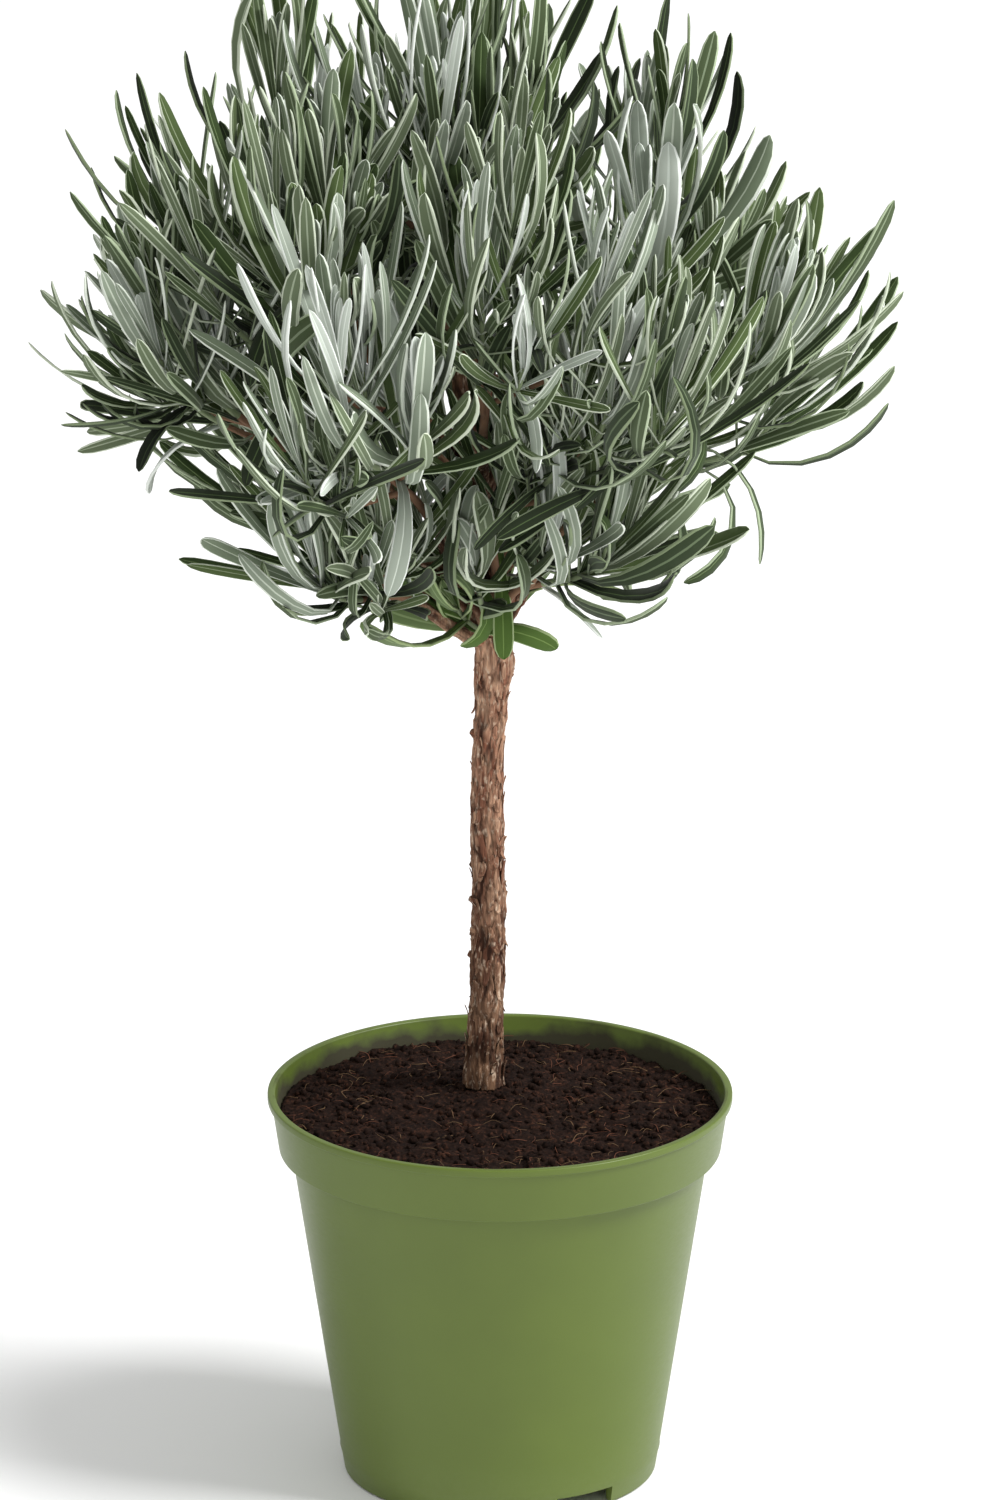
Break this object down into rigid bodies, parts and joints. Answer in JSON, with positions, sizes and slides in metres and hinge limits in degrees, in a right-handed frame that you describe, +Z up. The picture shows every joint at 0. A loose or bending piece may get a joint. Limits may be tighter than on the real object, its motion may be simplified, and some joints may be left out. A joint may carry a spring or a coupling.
{
  "type": "lavender standard in a nursery pot",
  "caption": "Potted lavender trained as a standard: a bare woody stem with a round, unclipped head of grey-green leaves, in a green plastic pot of peat compost.",
  "frame": {"origin": "on the ground, under the middle of the head of foliage; the pot's axis is 9 mm to the right of it", "axes": "+Z up, +X to the right and +Y to the back as the plant is seen from its front"},
  "size_m": [0.306, 0.298, 0.575],
  "materials": {
    "pot_plastic": "satin moulded plastic",
    "peat_compost": "moist crumbly peat",
    "bark": "flaking fibrous bark",
    "foliage": "felted grey-green leaves"
  },
  "bodies": {
    "root": {"pot": "pot_plastic", "compost": "peat_compost", "trunk": "bark", "foliage_low_1": "foliage", "foliage_low_2": "foliage", "foliage_low_3": "foliage", "foliage_low_4": "foliage", "foliage_mid_1": "foliage", "foliage_mid_2": "foliage", "foliage_mid_3": "foliage", "foliage_mid_4": "foliage", "foliage_mid_5": "foliage", "foliage_mid_6": "foliage", "foliage_mid_7": "foliage", "foliage_high_1": "foliage", "foliage_high_2": "foliage", "foliage_high_3": "foliage", "foliage_high_4": "foliage", "foliage_high_5": "foliage", "foliage_crown_1": "foliage", "bough_crown_1": "bark", "bough_low_1": "bark", "bough_low_2": "bark", "bough_low_3": "bark", "bough_low_4": "bark", "bough_mid_1": "bark", "bough_mid_2": "bark", "bough_mid_3": "bark", "bough_mid_4": "bark", "bough_mid_5": "bark", "bough_mid_6": "bark", "bough_mid_7": "bark", "bough_high_1": "bark", "bough_high_2": "bark", "bough_high_3": "bark", "bough_high_4": "bark", "bough_high_5": "bark"}
  },
  "joints": []
}
